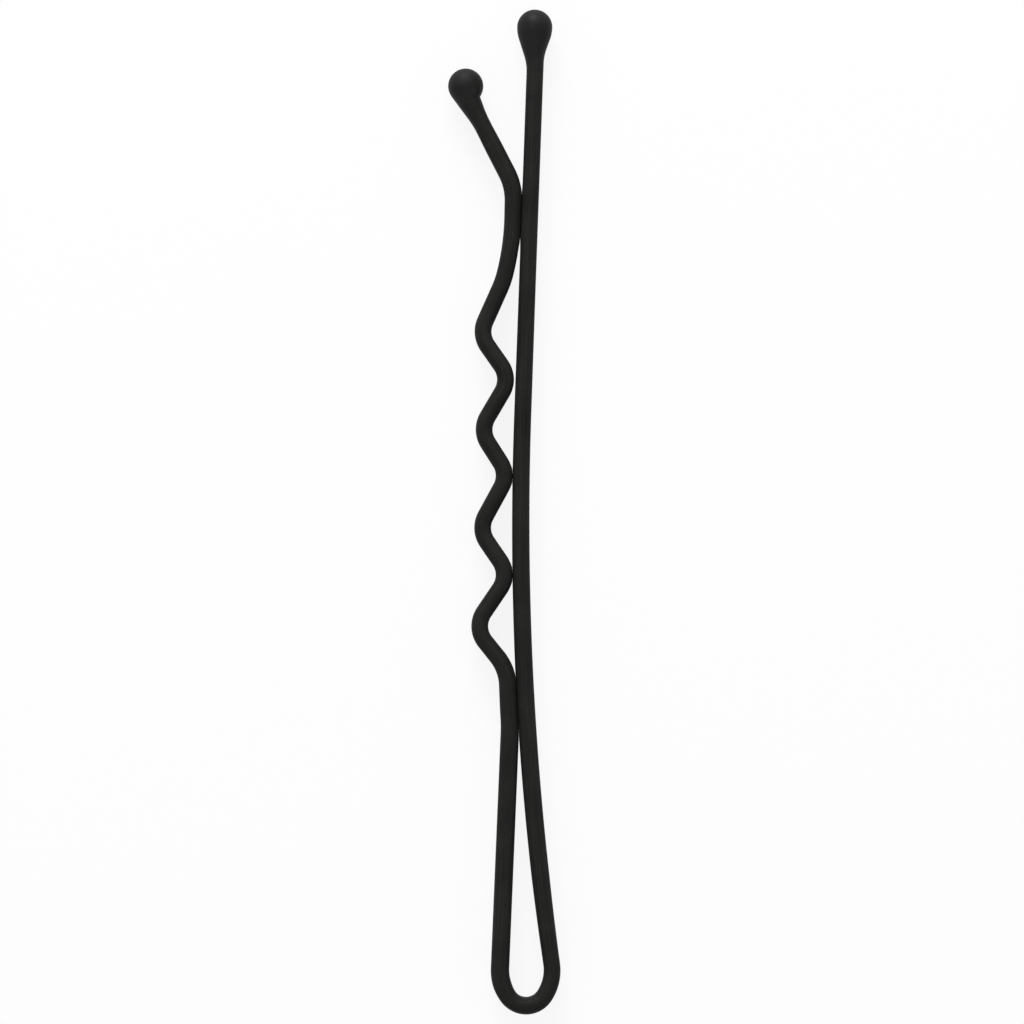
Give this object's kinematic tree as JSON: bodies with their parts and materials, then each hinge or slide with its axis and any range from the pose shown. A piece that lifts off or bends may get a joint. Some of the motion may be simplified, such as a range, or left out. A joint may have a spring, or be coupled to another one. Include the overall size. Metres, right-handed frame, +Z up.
{
  "type": "bobby pin",
  "caption": "Flat-wire hair pin bent round a bow into a straight arm and a crimped arm that grip hair between them, with a smooth resin drop on each end.",
  "frame": {"origin": "under the middle of the pin, on the surface that it lies on", "axes": "+Y along the pin from the bow to the open end, +X from the crimped arm to the straight arm, +Z up from the surface"},
  "size_m": [0.0058, 0.051, 0.0018],
  "materials": {
    "lacquered_wire": "matt black lacquer over spring steel",
    "resin_tip": "matt black dipped resin"
  },
  "bodies": {
    "bow": {"bow": "lacquered_wire"},
    "straight_arm": {"straight_arm": "lacquered_wire", "straight_arm_tip": "resin_tip"},
    "crimped_arm": {"crimped_arm": "lacquered_wire", "crimped_arm_tip": "resin_tip"}
  },
  "joints": [
    {"name": "straight_leg_flex", "type": "hinge", "parent": "bow", "child": "straight_arm", "pos_m": [0.00213, -0.01719, 0.0009], "axis": [0, 0, -1], "range_deg": [0, 12], "stiffness_Nm_per_rad": 0.4},
    {"name": "crimped_leg_flex", "type": "hinge", "parent": "bow", "child": "crimped_arm", "pos_m": [-0.0004, -0.01722, 0.0009], "axis": [0, 0, 1], "range_deg": [0, 12], "stiffness_Nm_per_rad": 0.4}
  ],
  "couplings": [
    {"joint": "crimped_leg_flex", "follows": "straight_leg_flex", "ratio": 1}
  ]
}
